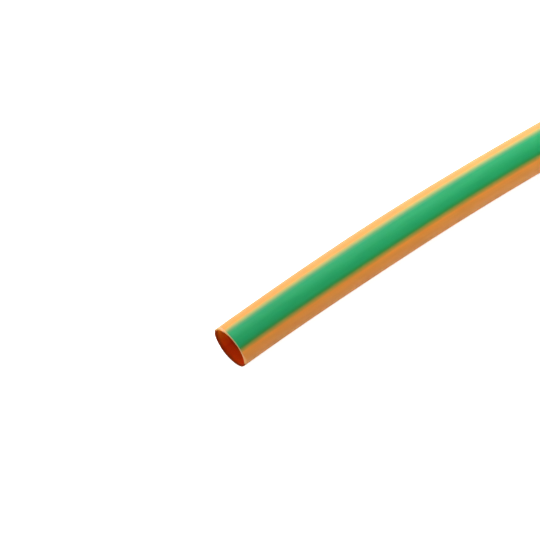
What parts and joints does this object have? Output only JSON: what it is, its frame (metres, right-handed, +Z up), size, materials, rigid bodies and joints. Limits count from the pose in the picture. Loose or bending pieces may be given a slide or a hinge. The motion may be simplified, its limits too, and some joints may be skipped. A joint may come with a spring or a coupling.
{
  "type": "heat shrink tube",
  "caption": "Thin-walled heat shrink tube with a gentle bend, orange-yellow with green bands along it, slipped over an earth conductor or joint and shrunk on with heat.",
  "frame": {"origin": "on the floor, under the middle of the tube's bounding box", "axes": "+X along the chord of the tube's bend, +Y towards the outer side of the bend, +Z up from the floor"},
  "size_m": [0.1508, 0.0164, 0.0138],
  "materials": {
    "polyolefin": "semi-matt extruded polyolefin, orange-yellow through the wall, with two green bands along the outside"
  },
  "bodies": {
    "root": {"heat_shrink_tube": "polyolefin"}
  },
  "joints": []
}
